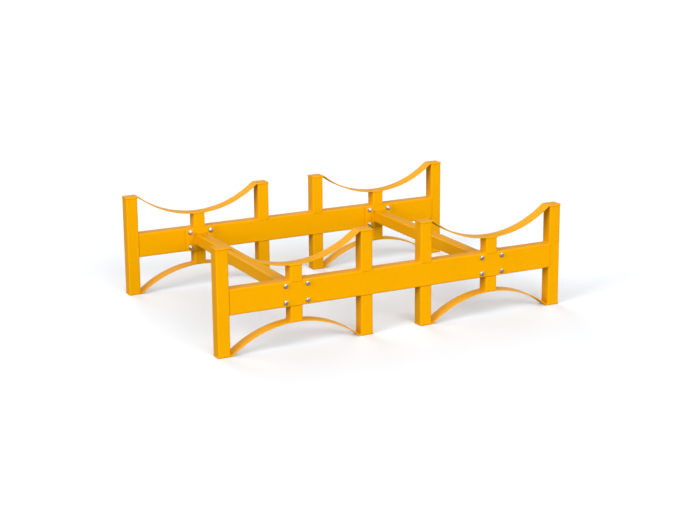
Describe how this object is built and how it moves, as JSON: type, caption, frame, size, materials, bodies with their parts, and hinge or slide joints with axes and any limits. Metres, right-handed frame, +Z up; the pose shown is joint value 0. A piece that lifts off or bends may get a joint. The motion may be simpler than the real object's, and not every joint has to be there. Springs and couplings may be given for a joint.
{
  "type": "drum stacking rack",
  "caption": "Low painted steel cradle rack that holds drums on their sides: two welded tube frames with curved strips above and below, held apart by bolted cross tubes.",
  "frame": {"origin": "on the floor, at the middle of the rack's length and depth", "axes": "+X along the beams, from the left cradle to the right one; +Y from the front frame to the rear frame, along the drums; +Z up"},
  "size_m": [1.2, 0.8106, 0.335],
  "materials": {
    "yellow_paint": "semi-gloss powder coat",
    "zinc_plate": "bright zinc plating"
  },
  "bodies": {
    "root": {"front_beam": "yellow_paint", "front_left_end_post": "yellow_paint", "front_right_end_post": "yellow_paint", "front_left_inner_post_upper": "yellow_paint", "front_left_stub_upper": "yellow_paint", "front_left_inner_post_lower": "yellow_paint", "front_left_stub_lower": "yellow_paint", "front_right_inner_post_upper": "yellow_paint", "front_right_stub_upper": "yellow_paint", "front_right_inner_post_lower": "yellow_paint", "front_right_stub_lower": "yellow_paint", "front_left_cradle_strip": "yellow_paint", "front_left_arch_strip": "yellow_paint", "front_right_cradle_strip": "yellow_paint", "front_right_arch_strip": "yellow_paint", "front_left_end_plate": "yellow_paint", "front_right_end_plate": "yellow_paint", "front_left_bolts": "zinc_plate", "front_left_washers": "zinc_plate", "front_left_nuts": "zinc_plate", "front_right_bolts": "zinc_plate", "front_right_washers": "zinc_plate", "front_right_nuts": "zinc_plate", "rear_beam": "yellow_paint", "rear_left_end_post": "yellow_paint", "rear_right_end_post": "yellow_paint", "rear_left_inner_post_upper": "yellow_paint", "rear_left_stub_upper": "yellow_paint", "rear_left_inner_post_lower": "yellow_paint", "rear_left_stub_lower": "yellow_paint", "rear_right_inner_post_upper": "yellow_paint", "rear_right_stub_upper": "yellow_paint", "rear_right_inner_post_lower": "yellow_paint", "rear_right_stub_lower": "yellow_paint", "rear_left_cradle_strip": "yellow_paint", "rear_left_arch_strip": "yellow_paint", "rear_right_cradle_strip": "yellow_paint", "rear_right_arch_strip": "yellow_paint", "rear_left_end_plate": "yellow_paint", "rear_right_end_plate": "yellow_paint", "rear_left_bolts": "zinc_plate", "rear_left_washers": "zinc_plate", "rear_left_nuts": "zinc_plate", "rear_right_bolts": "zinc_plate", "rear_right_washers": "zinc_plate", "rear_right_nuts": "zinc_plate", "left_cross_tube": "yellow_paint", "right_cross_tube": "yellow_paint"}
  },
  "joints": []
}
